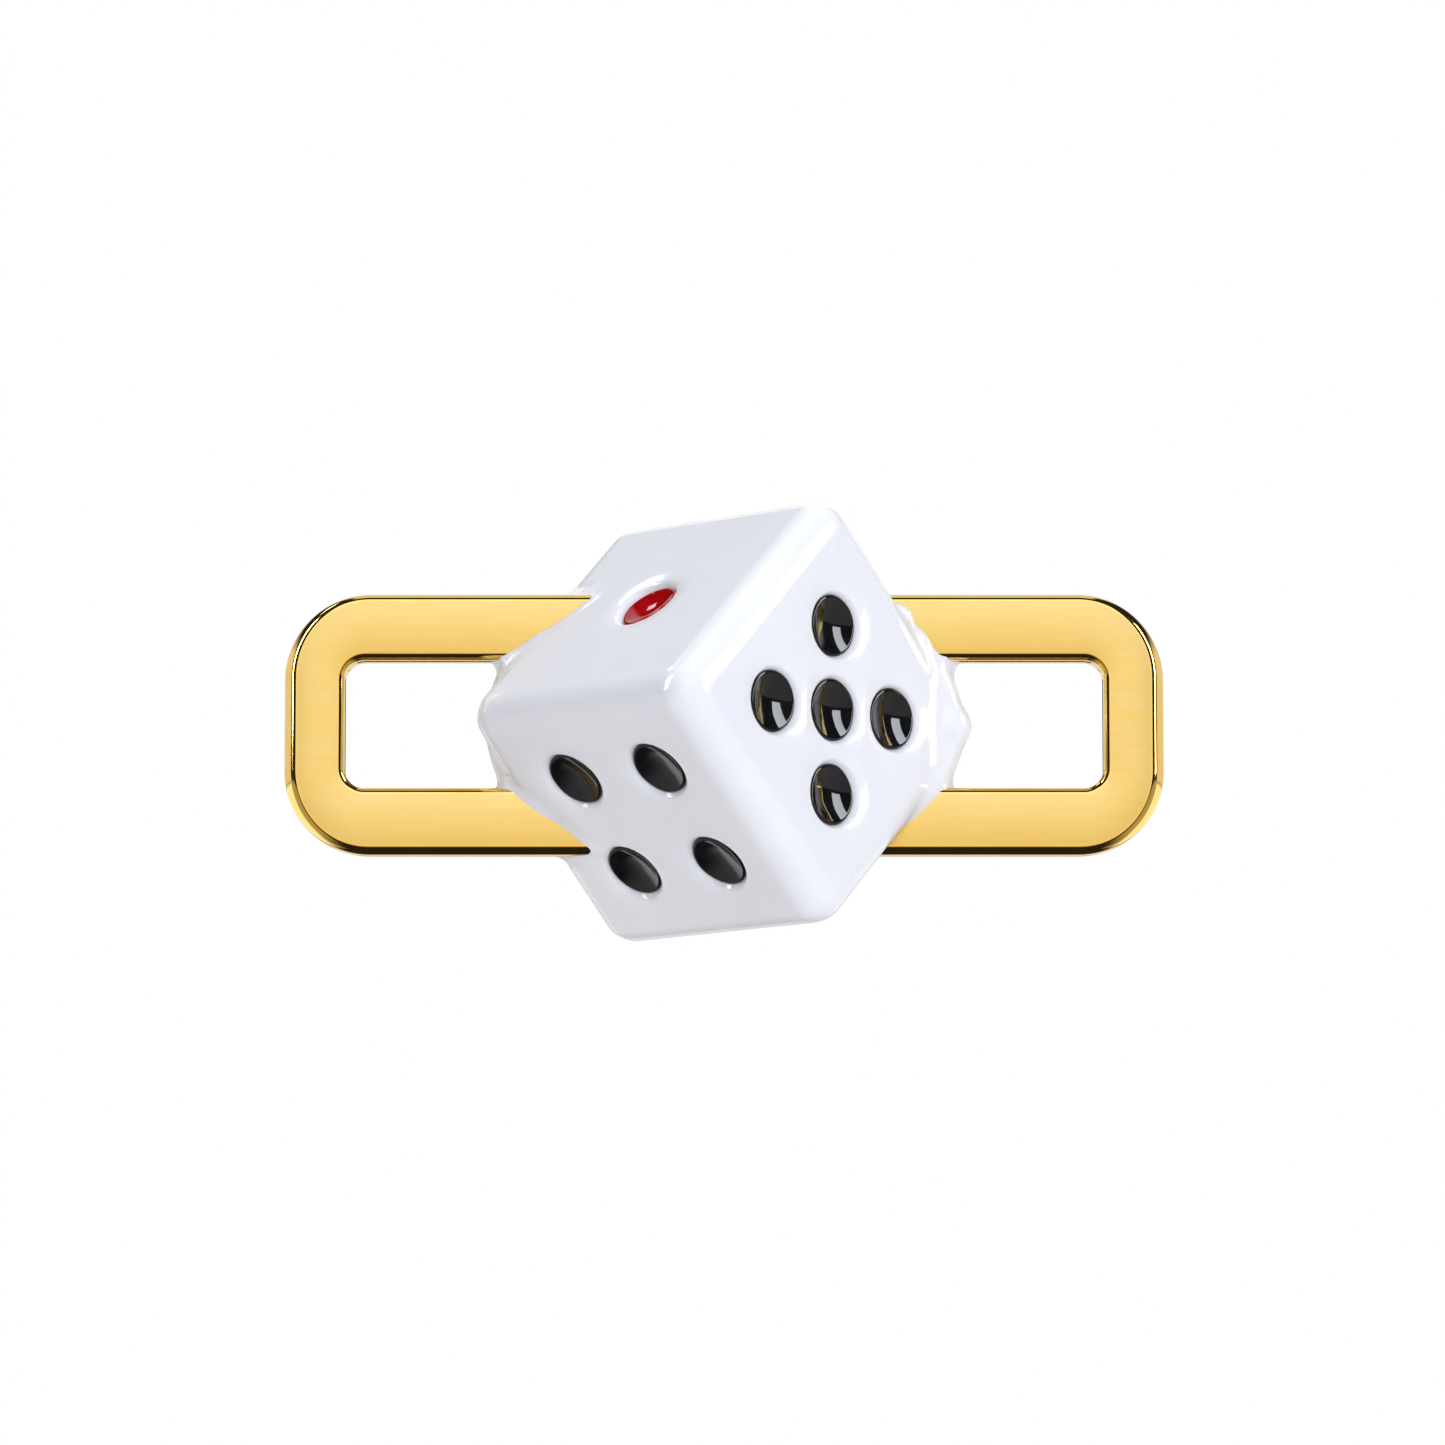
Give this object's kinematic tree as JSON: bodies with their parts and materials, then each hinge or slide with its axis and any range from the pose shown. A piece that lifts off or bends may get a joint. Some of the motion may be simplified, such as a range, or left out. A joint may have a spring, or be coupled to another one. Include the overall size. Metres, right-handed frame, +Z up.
{
  "type": "die lace charm",
  "caption": "White resin die with coloured enamel pips, cast corner-forward round a flat gold-coloured slotted link that slides onto a lace or strap.",
  "frame": {"origin": "centre of the die, which is also the middle of the link's length and height", "axes": "+X along the link to the five's side, +Z up across the link, -Y out of the charm's front; the link stands in the XZ plane"},
  "size_m": [0.0334, 0.0186, 0.0158],
  "materials": {
    "gold_link": "gold plated; faces finely brushed along their length, edges polished",
    "white_resin": "gloss, faintly blue-white cast resin",
    "black_enamel": "gloss enamel, dished",
    "red_enamel": "gloss enamel, dished"
  },
  "bodies": {
    "root": {"die_body": "white_resin", "lace_link": "gold_link", "pip_five_1": "black_enamel", "pip_five_2": "black_enamel", "pip_five_3": "black_enamel", "pip_five_4": "black_enamel", "pip_five_5": "black_enamel", "pip_four_1": "black_enamel", "pip_four_2": "black_enamel", "pip_four_3": "black_enamel", "pip_four_4": "black_enamel", "pip_one": "red_enamel", "pip_six_1": "black_enamel", "pip_six_2": "black_enamel", "pip_six_3": "black_enamel", "pip_six_4": "black_enamel", "pip_six_5": "black_enamel", "pip_six_6": "black_enamel", "pip_three_1": "black_enamel", "pip_three_2": "black_enamel", "pip_three_3": "black_enamel", "pip_two_1": "black_enamel", "pip_two_2": "black_enamel"}
  },
  "joints": []
}
